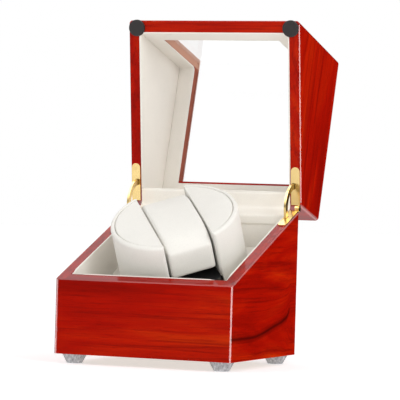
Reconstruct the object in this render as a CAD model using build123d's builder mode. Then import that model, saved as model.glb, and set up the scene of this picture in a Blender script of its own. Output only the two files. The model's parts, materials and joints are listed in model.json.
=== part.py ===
"""Watch winder: a small lacquered box with a slanted rim, whose lid stands open on quadrant hinges.

A tilted drum in the base turns a cushion for one watch. Millimetres, +Z up. The origin is the middle
of the base's footprint on the surface that the feet stand on, and -Y is the front.
"""

import os
from math import acos, cos, degrees, pi, radians, sin, sqrt, tan

from build123d import *

os.makedirs("parts", exist_ok=True)

# Box
case_width = 132
case_depth = 122
front_height = 51.5
rear_height = 101.5
lid_height = 39
wall = 8
edge_round = 2.5
lid_round = 2.2
arris_round = 0.6
rim_gap = 2.0
open_angle = 106.3

# Feet and floor
foot_height = 6.5
foot_radius = 8.7
foot_tip_radius = 5.2
foot_inset = 11.1
foot_round = 0.8
foot_recess_play = 0.6
floor_thickness = 5
floor_rebate = 4

# Linings
lining = 1.0
lining_drop = 0.6
flap_thickness = 0.7

# Window
window_side = 21
window_rear = 25
window_front = 18
window_thickness = 2.5
window_inset = 1.2
window_bend = 4

# Drum
drum_depth = 46
drum_tilt = 30
drum_turn = 36
drum_room = 1.53
seam_inset = 3.3
band_round = 2.6
shell_wall = 2.5
pad_thickness = 3
pad_wall = 2
core_play = 0.4
core_hub_wall = 6
slot_width = 35
slot_depth = 34

# Cushion
cushion_end_inset = 5
cushion_height = 28
cushion_crown = 3
cushion_gap = 0.3
cushion_draw = 3.5
cushion_end_drop = 8
cushion_round = 0.6

# Deck and drive
deck_gap = 4.5
deck_front_room = 4.9
deck_board_thickness = 3
batten_width = 8
batten_height = 8
shaft_radius = 3
running_gap = 0.05
bush_radius = 5.5
bush_flange_radius = 8
bush_flange = 1
bush_stand = 0.5
hub_radius = 8
hub_gap = 0.3
clip_radius = 5
clip_thickness = 0.8
shaft_tail = 1
drive_space = 12
plate_thickness = 2
plate_width = 44
plate_corner = 3
spacer_radius = 3
spacer_near = 19
spacer_room = 3
spacer_inset = 5
gear_module = 0.7
gear_teeth = 54
pinion_teeth = 18
gear_width = 5
gear_backlash = 0.12
pressure_angle = radians(20)
flank_steps = 5
gear_hub_radius = 7
gear_hub_drop = 2
pinion_hub_radius = 3.5
pinion_hub_drop = 1
motor_radius = 14
motor_length = 19
motor_offset = 8
motor_boss_radius = 4.5
motor_shaft_radius = 2.5
motor_shaft_depth = 16
motor_shaft_stand = 0.5
motor_screw_length = 4
spacer_screw_length = 8
ear_spacing = 35
ear_radius = 3.5
ear_thickness = 0.8

# Rear controls
panel_width = 46
panel_height = 24
panel_thickness = 2
panel_lip = 4
panel_centre_height = 30
knob_radius = 6.5
knob_length = 9
knob_post_radius = 3
knob_round = 0.8
knob_mark_width = 1
knob_mark_depth = 0.6
jack_radius = 5.5
jack_bore_radius = 2.8
jack_pin_radius = 0.95
jack_lip = 1
control_spacing = 24
board_gap = 9
board_thickness = 1.6
switch_body = 13
chip_length = 5
chip_width = 4
chip_height = 2

# Hinges
leaf_width = 6.6
leaf_length = 27
leaf_thickness = 1.4
leaf_sink = 0.6
leaf_edge_gap = 0.7
leaf_round = 3.2
pivot_behind = 2.6
knuckle_radius = 2.2
knuckle_relief = 0.5
pin_radius = 0.9
stay_radius = 16
stay_width = 4
stay_thickness = 1.6
stay_head = 0.6
stay_from_edge = 5.5
stay_hold = 11.5
stay_head_turn = 4.5
stay_share = 0.36
stay_gap = 0.3
pocket_play = 2
bumper_radius = 6
bumper_inset = 6.5
bumper_gap = 0.05
bumper_round = 0.5

# Screws
screw_radius = 0.9
screw_head_radius = 1.7
screw_head = 0.9
screw_length = 7
small_screw_radius = 1.2
small_head_radius = 2.3

# Worked out from the sizes above
half_width = case_width / 2
half_depth = case_depth / 2
inner_x = half_width - wall
inner_y = half_depth - wall
lined_x = inner_x - lining
lined_y = inner_y - lining
base_z = foot_height
rim_angle = degrees(acos(case_depth / sqrt(case_depth**2 + (rear_height - front_height) ** 2)))
rim_slope = radians(rim_angle)
front_rim_z = base_z + front_height
rear_rim_z = base_z + rear_height
lid_lift = rim_gap / cos(rim_slope)
lid_top_z = rear_rim_z + lid_lift + lid_height

# The rim's plane, with its local Y running up to the rear arris and its local Z away from the base
rim_plane = Plane(
    origin=(0, half_depth, rear_rim_z), x_dir=(1, 0, 0), z_dir=(0, -sin(rim_slope), cos(rim_slope))
)
lid_rim_plane = rim_plane.offset(rim_gap)
pivot = rim_plane.from_local_coords(Vector(0, pivot_behind, rim_gap / 2))
open_lid = Pos(pivot) * Rot(-open_angle, 0, 0) * Pos(-pivot)
shut = Location((0, 0, 0))

# The drum fills the lined depth of the base, and its deck clears the floor board at the front
tilt = radians(drum_tilt)
drum_radius = (2 * lined_y - drum_depth * sin(tilt) - 2 * drum_room) / (2 * cos(tilt))
deck_top = -(drum_depth + deck_gap)
deck_under = deck_top - lining - deck_board_thickness
face_y = -drum_depth * sin(tilt) / 2
face_over_deck_front = (inner_y + face_y) * tan(tilt) - deck_under / cos(tilt)
face_z = base_z + floor_thickness + deck_front_room + face_over_deck_front

# The drum's frame: local Z is the shaft's axis and its zero is the drum's face
drum_plane = Plane(
    origin=(0, face_y, face_z),
    x_dir=(1, 0, 0),
    z_dir=(0, -sin(tilt), cos(tilt)),
)
slot_plane = Plane(drum_plane.location * Rot(0, 0, drum_turn))
plate_top = deck_under - drive_space
plate_under = plate_top - plate_thickness
drive_distance = gear_module * (gear_teeth + pinion_teeth) / 2

sides = {"left": -1, "right": 1}


def keep(piece, name, place=shut):
    """Write one finished piece under its own name, at its place in the open winder."""
    finished = place * piece.part
    finished.label = name
    export_step(finished, f"parts/{name}.step")


def rim_height(y):
    """Height of the base's slanted rim at a depth y."""
    return rear_rim_z - (half_depth - y) * tan(rim_slope)


def drum_point(along, height):
    """Depth and height in the room of a point of the drum's frame in the plane of symmetry."""
    point = drum_plane.from_local_coords(Vector(0, along, height))
    return point.Y, point.Z


def deck_height(y, level):
    """Height in the room of the deck-parallel level at a depth y."""
    start_y, start_z = drum_point(0, level)
    return start_z + (y - start_y) * tan(tilt)


def screw_profile(radius, head_radius, head, length):
    """Half outline of a countersunk screw, head up, with its face at zero."""
    with BuildLine() as line:
        Polyline(
            (0, 0),
            (head_radius, 0),
            (radius, -head),
            (radius, -length + radius),
            (0, -length),
            close=True,
        )
    return make_face(line.line)


def screws(plane, spots, radius=screw_radius, head_radius=screw_head_radius, length=screw_length):
    """A group of equal countersunk screws whose heads lie flush in a plane, at (x, y) spots."""
    with BuildPart() as group:
        for spot in spots:
            seat = Plane(
                origin=plane.from_local_coords(Vector(spot[0], spot[1], 0)),
                x_dir=plane.x_dir,
                z_dir=plane.z_dir,
            )
            upright = Plane(origin=seat.origin, x_dir=seat.x_dir, z_dir=-seat.y_dir)
            with BuildSketch(upright):
                add(screw_profile(radius, head_radius, screw_head, length))
            revolve(axis=Axis(seat.origin, seat.z_dir))
    return group


def arc_band(centre, inner, outer, start, end):
    """Part of a flat ring about a centre, between two angles, as a closed outline."""
    with BuildLine() as line:
        CenterArc(centre, outer, start, end - start)
        CenterArc(centre, inner, start, end - start)
        for angle in (start, end):
            edge = radians(angle)
            Line(
                (centre[0] + inner * cos(edge), centre[1] + inner * sin(edge)),
                (centre[0] + outer * cos(edge), centre[1] + outer * sin(edge)),
            )
    return make_face(line.line)


# Angles of the stay arm about the pivot, counted from the rear, through the top, to the front
base_rim_turn = 180 + rim_angle
open_rim_turn = base_rim_turn - open_angle
stay_start = open_rim_turn - stay_hold
stay_end = base_rim_turn + stay_hold
stay_travel = stay_share * open_angle
stay_inner = stay_radius - stay_width / 2
stay_outer = stay_radius + stay_width / 2
pivot_yz = (pivot.Y, pivot.Z)


def stay_x(side):
    """Place of a stay arm's middle across the width."""
    return side * (inner_x + stay_from_edge / 2)


# Where the arm passes through the two leaves, along the rim from its rear arris
stay_hole_rear = pivot_behind - sqrt(stay_inner**2 - (rim_gap / 2 + leaf_sink) ** 2) + stay_gap
stay_hole_front = pivot_behind - stay_outer - stay_gap
leaf_outer_x = half_width - leaf_edge_gap
leaf_middle = leaf_outer_x - leaf_width / 2
stay_edge = inner_x + stay_from_edge / 2 + stay_thickness / 2 + 2 * stay_gap
knuckle_length = (leaf_outer_x - stay_edge) / 2
knuckle_inner = leaf_outer_x - 2 * knuckle_length


def leaf_outline(side):
    """Outline of a hinge leaf on its rim plane, with the slot that its stay arm slides through."""
    with BuildSketch() as outline:
        with Locations((side * leaf_middle, -leaf_length / 2)):
            Rectangle(leaf_width, leaf_length)
        fillet(outline.vertices().group_by(Axis.Y)[0], leaf_round)
        with Locations((stay_x(side), (stay_hole_front + stay_hole_rear) / 2)):
            Rectangle(
                stay_thickness + 2 * stay_gap,
                stay_hole_rear - stay_hole_front,
                mode=Mode.SUBTRACT,
            )
    return outline.sketch


def knuckle(side, inner_edge, plate_low):
    """Barrel on the pivot with the tongue that joins it to its leaf, and the pin's bore."""
    middle = side * (inner_edge + knuckle_length / 2)
    width = knuckle_length - running_gap
    with BuildPart() as barrel:
        with BuildSketch(Plane.YZ.offset(middle)):
            with Locations(pivot_yz):
                Circle(knuckle_radius)
        extrude(amount=width / 2, both=True)
        with BuildSketch(rim_plane.offset(plate_low)):
            with Locations((middle, (pivot_behind - leaf_edge_gap) / 2)):
                Rectangle(width, pivot_behind + leaf_edge_gap)
        extrude(amount=leaf_thickness)
        with BuildSketch(Plane.YZ.offset(middle)):
            with Locations(pivot_yz):
                Circle(pin_radius)
        extrude(amount=width, both=True, mode=Mode.SUBTRACT)
    return barrel


# Hinges: for each side a base leaf, a lid leaf, a pin and a stay arm
hinge_leaves = {}
base_leaf_low = -leaf_sink
lid_leaf_low = rim_gap + leaf_sink - leaf_thickness
knuckle_outer = knuckle_inner + knuckle_length
for side_name, side in sides.items():
    outline = leaf_outline(side)
    inner_knuckle = knuckle(side, knuckle_inner, base_leaf_low)
    outer_knuckle = knuckle(side, knuckle_outer, lid_leaf_low)
    with BuildPart() as base_leaf:
        with BuildSketch(rim_plane.offset(base_leaf_low)):
            add(outline)
        extrude(amount=leaf_thickness)
        add(inner_knuckle.part)
    with BuildPart() as lid_leaf:
        with BuildSketch(rim_plane.offset(lid_leaf_low)):
            add(outline)
        extrude(amount=leaf_thickness)
        add(outer_knuckle.part)
        with BuildSketch(Plane.YZ.offset(side * (knuckle_outer + knuckle_length / 2))):
            with Locations(pivot_yz):
                Circle(pin_radius + running_gap)
        extrude(amount=knuckle_length, both=True, mode=Mode.SUBTRACT)
    hinge_leaves[side_name] = (base_leaf, lid_leaf)

with BuildPart() as hinge_pins:
    for side in sides.values():
        with BuildSketch(Plane.YZ.offset(side * (leaf_outer_x - knuckle_length))):
            with Locations(pivot_yz):
                Circle(pin_radius)
        extrude(amount=knuckle_length, both=True)
keep(hinge_pins, "hinge_pins")

for side_name, side in sides.items():
    with BuildPart() as stay_arm:
        with BuildSketch(Plane.YZ.offset(stay_x(side))):
            add(arc_band(pivot_yz, stay_inner, stay_outer, stay_start, stay_end))
            for turn in (stay_start, stay_end - stay_head_turn):
                add(
                    arc_band(
                        pivot_yz,
                        stay_inner - stay_head,
                        stay_outer + stay_head,
                        turn,
                        turn + stay_head_turn,
                    )
                )
        extrude(amount=stay_thickness / 2, both=True)
    keep(stay_arm, f"stay_arm_{side_name}")

screw_front = -leaf_length + leaf_width / 2
screw_rear = -leaf_width
leaf_screw_spots = []
for side in sides.values():
    leaf_screw_spots.append((side * leaf_middle, screw_front))
    leaf_screw_spots.append((side * (leaf_outer_x - knuckle_length), screw_rear))
base_leaf_top = rim_plane.offset(base_leaf_low + leaf_thickness)
lid_leaf_face = rim_plane.offset(lid_leaf_low)
lid_leaf_down = Plane(origin=lid_leaf_face.origin, x_dir=(-1, 0, 0), z_dir=-lid_leaf_face.z_dir)
hinge_base_screws = screws(base_leaf_top, leaf_screw_spots)
hinge_lid_screws = screws(lid_leaf_down, [(-x, y) for x, y in leaf_screw_spots])
keep(hinge_base_screws, "hinge_base_screws")
keep(hinge_lid_screws, "hinge_lid_screws", open_lid)

for side_name, (base_leaf, lid_leaf) in hinge_leaves.items():
    with base_leaf:
        add(hinge_base_screws.part, mode=Mode.SUBTRACT)
    with lid_leaf:
        add(hinge_lid_screws.part, mode=Mode.SUBTRACT)
    keep(base_leaf, f"hinge_base_leaf_{side_name}")
    keep(lid_leaf, f"hinge_lid_leaf_{side_name}", open_lid)


def hinge_pockets(start, end):
    """Room in the wood for the stay arms, between two angles, and for the knuckles."""
    clear = stay_head + stay_gap
    with BuildPart() as pockets:
        for side in sides.values():
            with BuildSketch(Plane.YZ.offset(stay_x(side))):
                add(arc_band(pivot_yz, stay_inner - clear, stay_outer + clear, start, end))
            extrude(amount=stay_thickness / 2 + stay_gap, both=True)
            with BuildSketch(Plane.YZ.offset(side * (leaf_outer_x - knuckle_length))):
                with Locations(pivot_yz):
                    Circle(knuckle_radius + knuckle_relief)
            extrude(amount=knuckle_length + knuckle_relief, both=True)
    return pockets


# Base case: four walls under the slanted rim, open below for the floor board
floor_screw_inset = wall - (wall - floor_rebate) / 2
floor_screw_x = half_width - floor_screw_inset
floor_screw_spots = [(x * floor_screw_x, y * half_depth / 2) for x in (-1, 1) for y in (-1, 1)]
floor_screw_spots += [(0, y * (half_depth - floor_screw_inset)) for y in (-1, 1)]
underside = Plane(origin=(0, 0, base_z), x_dir=(1, 0, 0), z_dir=(0, 0, -1))
floor_screws = screws(underside, floor_screw_spots, screw_radius, screw_head_radius, 2 * screw_length)
keep(floor_screws, "floor_screws")

base_pockets = hinge_pockets(base_rim_turn - pocket_play, stay_end + stay_travel + pocket_play)
panel_z = base_z + panel_centre_height
panel_plane = Plane(origin=(0, half_depth, panel_z), x_dir=(1, 0, 0), z_dir=(0, -1, 0))
with BuildPart() as base_case:
    with BuildSketch(Plane.YZ.offset(-half_width)):
        with BuildLine():
            Polyline(
                (-half_depth, base_z),
                (half_depth, base_z),
                (half_depth, rear_rim_z),
                (-half_depth, front_rim_z),
                close=True,
            )
        make_face()
    extrude(amount=case_width)
    fillet(base_case.edges().filter_by(Axis.Z), edge_round)
    chamfer(base_case.faces().sort_by(Axis.Z)[-1].edges(), arris_round)
    with BuildSketch(Plane.XY.offset(base_z)):
        Rectangle(2 * inner_x, 2 * inner_y)
    extrude(amount=2 * rear_height, mode=Mode.SUBTRACT)
    with BuildSketch(Plane.XY.offset(base_z)):
        Rectangle(2 * (inner_x + floor_rebate), 2 * (inner_y + floor_rebate))
    extrude(amount=floor_thickness, mode=Mode.SUBTRACT)
    with BuildSketch(panel_plane):
        Rectangle(panel_width, panel_height)
    extrude(amount=panel_thickness, mode=Mode.SUBTRACT)
    with BuildSketch(panel_plane):
        Rectangle(panel_width - 2 * panel_lip, panel_height - 2 * panel_lip)
    extrude(amount=2 * wall, mode=Mode.SUBTRACT)
    add(base_pockets.part, mode=Mode.SUBTRACT)
    for base_leaf, lid_leaf in hinge_leaves.values():
        add(base_leaf.part, mode=Mode.SUBTRACT)
    add(hinge_base_screws.part, mode=Mode.SUBTRACT)
    add(floor_screws.part, mode=Mode.SUBTRACT)
keep(base_case, "base_case")

# Feet: tapered pucks, each held by one screw from below into the floor board
foot_spots = {
    "front_left": (-1, -1),
    "front_right": (1, -1),
    "rear_left": (-1, 1),
    "rear_right": (1, 1),
}
foot_x = half_width - foot_inset
foot_y = half_depth - foot_inset
foot_recess = foot_height / 2
foot_recess_radius = small_head_radius + foot_recess_play
recess_plane = Plane(origin=(0, 0, foot_recess), x_dir=(1, 0, 0), z_dir=(0, 0, -1))
foot_screws = screws(
    recess_plane,
    [(x * foot_x, y * foot_y) for x, y in foot_spots.values()],
    small_screw_radius,
    small_head_radius,
    screw_length,
)
keep(foot_screws, "foot_screws")
for spot_name, (x_sign, y_sign) in foot_spots.items():
    with BuildPart() as foot:
        with BuildSketch(Plane.XY):
            with Locations((x_sign * foot_x, y_sign * foot_y)):
                Circle(foot_tip_radius)
        with BuildSketch(Plane.XY.offset(foot_height)):
            with Locations((x_sign * foot_x, y_sign * foot_y)):
                Circle(foot_radius)
        loft()
        fillet(foot.edges().filter_by(GeomType.CIRCLE).sort_by(Axis.Z)[0], foot_round)
        with BuildSketch(Plane.XY):
            with Locations((x_sign * foot_x, y_sign * foot_y)):
                Circle(foot_recess_radius)
        extrude(amount=foot_recess, mode=Mode.SUBTRACT)
        add(foot_screws.part, mode=Mode.SUBTRACT)
    keep(foot, f"foot_{spot_name}")

with BuildPart() as floor_board:
    with BuildSketch(Plane.XY.offset(base_z)):
        Rectangle(2 * (inner_x + floor_rebate), 2 * (inner_y + floor_rebate))
    extrude(amount=floor_thickness)
    add(foot_screws.part, mode=Mode.SUBTRACT)
    add(floor_screws.part, mode=Mode.SUBTRACT)
keep(floor_board, "floor_board")

# Deck: a slanted board with a leather cover, square to the drum's shaft
deck_front_y = -inner_y
deck_rear_y = inner_y


def deck_slab(top, thickness, half_length_x):
    """A slab parallel to the drum's face, cut square by the front and rear walls."""
    with BuildPart() as slab:
        with BuildSketch(Plane.YZ):
            with BuildLine():
                Polyline(
                    (deck_front_y, deck_height(deck_front_y, top)),
                    (deck_rear_y, deck_height(deck_rear_y, top)),
                    (deck_rear_y, deck_height(deck_rear_y, top - thickness)),
                    (deck_front_y, deck_height(deck_front_y, top - thickness)),
                    close=True,
                )
            make_face()
        extrude(amount=half_length_x, both=True)
        with BuildSketch(drum_plane.offset(top)):
            Circle(bush_radius)
        extrude(amount=-2 * thickness, mode=Mode.SUBTRACT)
    return slab


deck_cover = deck_slab(deck_top, lining, inner_x)
keep(deck_cover, "deck_cover")
deck_board = deck_slab(deck_top - lining, deck_board_thickness, inner_x)
keep(deck_board, "deck_board")
for side_name, side in sides.items():
    with BuildPart() as batten:
        with BuildSketch(Plane.YZ.offset(side * inner_x)):
            with BuildLine():
                low = deck_under - batten_height
                Polyline(
                    (-inner_y / 2, deck_height(-inner_y / 2, deck_under)),
                    (inner_y, deck_height(inner_y, deck_under)),
                    (inner_y, deck_height(inner_y, low)),
                    (-inner_y / 2, deck_height(-inner_y / 2, low)),
                    close=True,
                )
            make_face()
        extrude(amount=-side * batten_width)
    keep(batten, f"deck_batten_{side_name}")

# Linings of the base: boards under leather between the deck and the rim
base_linings = {
    "base_lining_left": (-inner_x, -lined_x, -inner_y, inner_y),
    "base_lining_right": (lined_x, inner_x, -inner_y, inner_y),
    "base_lining_front": (-lined_x, lined_x, -inner_y, -lined_y),
    "base_lining_rear": (-lined_x, lined_x, lined_y, inner_y),
}
for lining_name, (x_low, x_high, y_low, y_high) in base_linings.items():
    with BuildPart() as base_lining:
        with BuildSketch(Plane.YZ.offset(x_low)):
            with BuildLine():
                Polyline(
                    (y_low, deck_height(y_low, deck_top)),
                    (y_high, deck_height(y_high, deck_top)),
                    (y_high, rim_height(y_high) - lining_drop),
                    (y_low, rim_height(y_low) - lining_drop),
                    close=True,
                )
            make_face()
        extrude(amount=x_high - x_low)
    keep(base_lining, lining_name)

# Leather flap along the rear rims, on the base and on the lid
flap_spans = {
    "flap_base": (rim_plane, shut, 0),
    "flap_lid": (lid_rim_plane.offset(-flap_thickness), open_lid, rim_gap * tan(rim_slope)),
}
for flap_name, (flap_plane, flap_place, flap_shift) in flap_spans.items():
    flap_depth = wall / cos(rim_slope) - arris_round
    with BuildPart() as flap:
        with BuildSketch(flap_plane):
            with Locations((0, flap_shift - arris_round - flap_depth / 2)):
                Rectangle(2 * inner_x, flap_depth)
        extrude(amount=flap_thickness)
    keep(flap, flap_name, flap_place)

# Control plate, its inlet and mode switch, and the board behind them
jack_spot = (control_spacing / 2, 0)
switch_spot = (-control_spacing / 2, 0)
with BuildPart() as control_plate:
    with BuildSketch(panel_plane):
        Rectangle(panel_width, panel_height)
        with Locations(jack_spot):
            Circle(jack_radius, mode=Mode.SUBTRACT)
        with Locations(switch_spot):
            Circle(knob_post_radius + stay_gap, mode=Mode.SUBTRACT)
    extrude(amount=panel_thickness)
keep(control_plate, "control_plate")

with BuildPart() as power_inlet:
    with BuildSketch(panel_plane.offset(-jack_lip)):
        with Locations(jack_spot):
            Circle(jack_radius + jack_lip)
    extrude(amount=jack_lip)
    with BuildSketch(panel_plane):
        with Locations(jack_spot):
            Circle(jack_radius)
    extrude(amount=panel_thickness + board_gap)
    with BuildSketch(panel_plane.offset(-jack_lip)):
        with Locations(jack_spot):
            Circle(jack_bore_radius)
            Circle(jack_pin_radius, mode=Mode.SUBTRACT)
    extrude(amount=board_gap, mode=Mode.SUBTRACT)
keep(power_inlet, "power_inlet")

with BuildPart() as mode_switch:
    with BuildSketch(panel_plane.offset(panel_thickness)):
        with Locations(switch_spot):
            Rectangle(switch_body, switch_body)
            Circle(knob_post_radius + running_gap, mode=Mode.SUBTRACT)
    extrude(amount=board_gap)
keep(mode_switch, "mode_switch")

with BuildPart() as mode_knob:
    with BuildSketch(panel_plane.offset(-hub_gap)):
        with Locations(switch_spot):
            Circle(knob_radius)
    extrude(amount=-knob_length)
    fillet(mode_knob.faces().sort_by(Axis.Y)[-1].edges(), knob_round)
    with BuildSketch(panel_plane.offset(-hub_gap - knob_length)):
        with Locations((switch_spot[0], knob_radius)):
            Rectangle(knob_mark_width, knob_radius)
    extrude(amount=knob_mark_depth, mode=Mode.SUBTRACT)
    with BuildSketch(panel_plane.offset(-hub_gap)):
        with Locations(switch_spot):
            Circle(knob_post_radius)
    extrude(amount=hub_gap + board_gap)
keep(mode_knob, "mode_knob")

with BuildPart() as circuit_board:
    with BuildSketch(panel_plane.offset(panel_thickness + board_gap)):
        Rectangle(panel_width - panel_lip, panel_height)
    extrude(amount=board_thickness)
    with BuildSketch(panel_plane.offset(panel_thickness + board_gap + board_thickness)):
        with GridLocations(control_spacing / 2, panel_height / 2, 3, 2):
            Rectangle(chip_length, chip_width)
    extrude(amount=chip_height)
keep(circuit_board, "circuit_board")

# Lid case: side walls, rear wall and the frame round one opening through its front and top
front_lid_z = front_rim_z + lid_lift
window_x = half_width - window_side
window_rear_y = half_depth - window_rear
window_low_z = front_lid_z + window_front


def lid_slice(inset, low=0):
    """Outline of the closed lid seen from the side, drawn in by an inset from its outer faces."""
    with BuildLine() as line:
        Polyline(
            (-half_depth + inset, rim_height(-half_depth + inset) + lid_lift + low),
            (half_depth - inset, rim_height(half_depth - inset) + lid_lift + low),
            (half_depth - inset, lid_top_z - inset),
            (-half_depth + inset, lid_top_z - inset),
            close=True,
        )
    return make_face(line.line)


lid_pocket_start = base_rim_turn - open_angle - stay_hold + stay_travel
lid_pockets = hinge_pockets(lid_pocket_start - pocket_play, base_rim_turn + pocket_play)
with BuildPart() as lid_case:
    with BuildSketch(Plane.YZ.offset(-half_width)):
        add(lid_slice(0))
    extrude(amount=case_width)
    fillet(lid_case.edges().filter_by(Axis.Z), edge_round)
    fillet(lid_case.faces().sort_by(Axis.Z)[-1].edges(), lid_round)
    chamfer(lid_case.faces().sort_by(Axis.Z)[0].edges(), arris_round)
    with BuildSketch(Plane.YZ.offset(-inner_x)):
        add(lid_slice(wall, -wall))
    extrude(amount=2 * inner_x, mode=Mode.SUBTRACT)
    with BuildSketch(Plane.YZ.offset(-window_x)):
        with BuildLine():
            Polyline(
                (-case_depth, window_low_z),
                (-inner_y, window_low_z),
                (-inner_y, lid_top_z - wall),
                (window_rear_y, lid_top_z - wall),
                (window_rear_y, 2 * lid_top_z),
                (-case_depth, 2 * lid_top_z),
                close=True,
            )
        make_face()
    extrude(amount=2 * window_x, mode=Mode.SUBTRACT)
    add(lid_pockets.part, mode=Mode.SUBTRACT)
    for base_leaf, lid_leaf in hinge_leaves.values():
        add(lid_leaf.part, mode=Mode.SUBTRACT)
    add(hinge_lid_screws.part, mode=Mode.SUBTRACT)
keep(lid_case, "lid_case", open_lid)

# Window: one clear sheet bent over the front edge of the lid
pane_front = -half_depth + window_inset
pane_top = lid_top_z - window_inset
with BuildPart() as lid_window:
    with BuildSketch(Plane.YZ):
        with BuildLine():
            FilletPolyline(
                (pane_front, window_low_z),
                (pane_front, pane_top),
                (window_rear_y, pane_top),
                radius=window_bend,
            )
            Line((window_rear_y, pane_top), (window_rear_y, pane_top - window_thickness))
            FilletPolyline(
                (window_rear_y, pane_top - window_thickness),
                (pane_front + window_thickness, pane_top - window_thickness),
                (pane_front + window_thickness, window_low_z),
                radius=window_bend - window_thickness,
            )
            Line((pane_front + window_thickness, window_low_z), (pane_front, window_low_z))
        make_face()
    extrude(amount=window_x, both=True)
keep(lid_window, "lid_window", open_lid)

# Linings of the lid
for side_name, side in sides.items():
    with BuildPart() as lid_lining_side:
        with BuildSketch(Plane.YZ.offset(side * inner_x)):
            add(lid_slice(wall, lining_drop))
        extrude(amount=-side * lining)
    keep(lid_lining_side, f"lid_lining_{side_name}", open_lid)

lined_top_z = lid_top_z - wall - lining
with BuildPart() as lid_lining_rear:
    with BuildSketch(Plane.YZ.offset(-lined_x)):
        with BuildLine():
            Polyline(
                (inner_y, rim_height(inner_y) + lid_lift + lining_drop),
                (inner_y, lid_top_z - wall),
                (lined_y, lid_top_z - wall),
                (lined_y, rim_height(lined_y) + lid_lift + lining_drop),
                close=True,
            )
        make_face()
    extrude(amount=2 * lined_x)
keep(lid_lining_rear, "lid_lining_rear", open_lid)

with BuildPart() as lid_lining_top:
    with BuildSketch(Plane.XY.offset(lined_top_z)):
        with Locations((0, (lined_y - inner_y) / 2)):
            Rectangle(2 * lined_x, lined_y + inner_y)
        with Locations((0, (window_rear_y - case_depth) / 2)):
            Rectangle(2 * window_x, window_rear_y + case_depth, mode=Mode.SUBTRACT)
    extrude(amount=lining)
keep(lid_lining_top, "lid_lining_top", open_lid)

lining_low_z = rim_height(-inner_y) + lid_lift + lining_drop
with BuildPart() as lid_lining_front:
    with BuildSketch(Plane.XZ.offset(lined_y)):
        with Locations((0, (lining_low_z + lined_top_z) / 2)):
            Rectangle(2 * lined_x, lined_top_z - lining_low_z)
        with Locations((0, window_low_z + lid_top_z / 2)):
            Rectangle(2 * window_x, lid_top_z, mode=Mode.SUBTRACT)
    extrude(amount=lining)
keep(lid_lining_front, "lid_lining_front", open_lid)

# Bumpers at the front corners of the lid's rim
rim_length = case_depth / cos(rim_slope)
rim_up = Axis(rim_plane.origin, rim_plane.z_dir)
for side_name, side in sides.items():
    with BuildPart() as bumper:
        with BuildSketch(lid_rim_plane):
            with Locations((side * (half_width - bumper_inset), -rim_length + bumper_inset)):
                Circle(bumper_radius)
        extrude(amount=-(rim_gap - bumper_gap))
        fillet(bumper.faces().sort_by(rim_up)[0].edges(), bumper_round)
    keep(bumper, f"bumper_{side_name}", open_lid)

# Drum: black core, two D-shaped cheek shells and their leather pads
half_slot = slot_width / 2
pad_edge = half_slot + pad_wall
shell_inner = drum_radius - shell_wall
pad_radius = drum_radius - seam_inset


def d_shape(radius, flat):
    """Sketch of the part of a circle that lies beyond a chord at x = flat, for flat over zero."""
    with BuildSketch() as shape:
        Circle(radius)
        with Locations((flat - radius, 0)):
            Rectangle(2 * radius, 2 * radius, mode=Mode.SUBTRACT)
    return shape.sketch


with BuildPart() as drum_core:
    with BuildSketch(slot_plane.offset(-drum_depth)):
        Circle(shell_inner)
        Rectangle(2 * (half_slot - cushion_gap), 2 * drum_radius)
        Circle(drum_radius - core_play, mode=Mode.INTERSECT)
    extrude(amount=drum_depth - slot_depth)
    with BuildSketch(slot_plane.offset(-drum_depth)):
        Circle(shell_inner - shell_wall)
        Circle(hub_radius + core_hub_wall, mode=Mode.SUBTRACT)
    extrude(amount=drum_depth - slot_depth - shell_wall, mode=Mode.SUBTRACT)
    with BuildSketch(slot_plane.offset(-drum_depth)):
        Circle(hub_radius)
    extrude(amount=-(deck_gap - bush_flange - hub_gap))
    with BuildSketch(slot_plane.offset(-slot_depth - shell_wall)):
        Circle(shaft_radius)
    extrude(amount=-drum_depth, mode=Mode.SUBTRACT)
keep(drum_core, "drum_core")

for side_name, side in sides.items():
    turned = Plane(slot_plane.location * Rot(0, 0, 90 - side * 90))
    along_shaft = Axis(turned.origin, turned.z_dir)
    with BuildPart() as cheek_shell:
        with BuildSketch(turned.offset(-drum_depth)):
            add(d_shape(drum_radius, pad_edge))
        extrude(amount=drum_depth)
        fillet(cheek_shell.edges().filter_by(GeomType.CIRCLE).sort_by(along_shaft)[-1], band_round)
        with BuildSketch(turned):
            add(d_shape(pad_radius, pad_edge - pad_wall))
        extrude(amount=-pad_thickness, mode=Mode.SUBTRACT)
        with BuildSketch(turned.offset(-pad_thickness - shell_wall)):
            add(d_shape(shell_inner, pad_edge + shell_wall))
        extrude(amount=-(slot_depth - pad_thickness - shell_wall), mode=Mode.SUBTRACT)
        with BuildSketch(turned.offset(-slot_depth)):
            Circle(shell_inner)
        extrude(amount=-drum_depth, mode=Mode.SUBTRACT)
    keep(cheek_shell, f"cheek_shell_{side_name}")

    with BuildPart() as cheek_pad:
        with BuildSketch(turned.offset(-pad_thickness)):
            add(d_shape(pad_radius, half_slot))
        extrude(amount=pad_thickness)
        with BuildSketch(turned.offset(-slot_depth)):
            add(d_shape(drum_radius - core_play, half_slot))
            with Locations((pad_edge + drum_radius, 0)):
                Rectangle(2 * drum_radius, 2 * drum_radius, mode=Mode.SUBTRACT)
        extrude(amount=slot_depth)
    keep(cheek_pad, f"cheek_pad_{side_name}")

# Cushion: drawn in towards its ends, crowned on top, flat only where it meets the strap's channel
cushion_base = -cushion_height
cushion_length = 2 * (drum_radius - cushion_end_inset)
half_cushion = slot_width / 2 - cushion_gap


def cushion_section(reach, width, low, high):
    """Rounded rectangle across the cushion at a distance along the slot."""
    plane = Plane(
        origin=slot_plane.from_local_coords(Vector(0, reach, (low + high) / 2)),
        x_dir=slot_plane.x_dir,
        z_dir=slot_plane.y_dir,
    )
    with BuildSketch(plane) as section:
        RectangleRounded(2 * width, high - low, cushion_round * (high - low) / 2)
    return section.sketch


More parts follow.
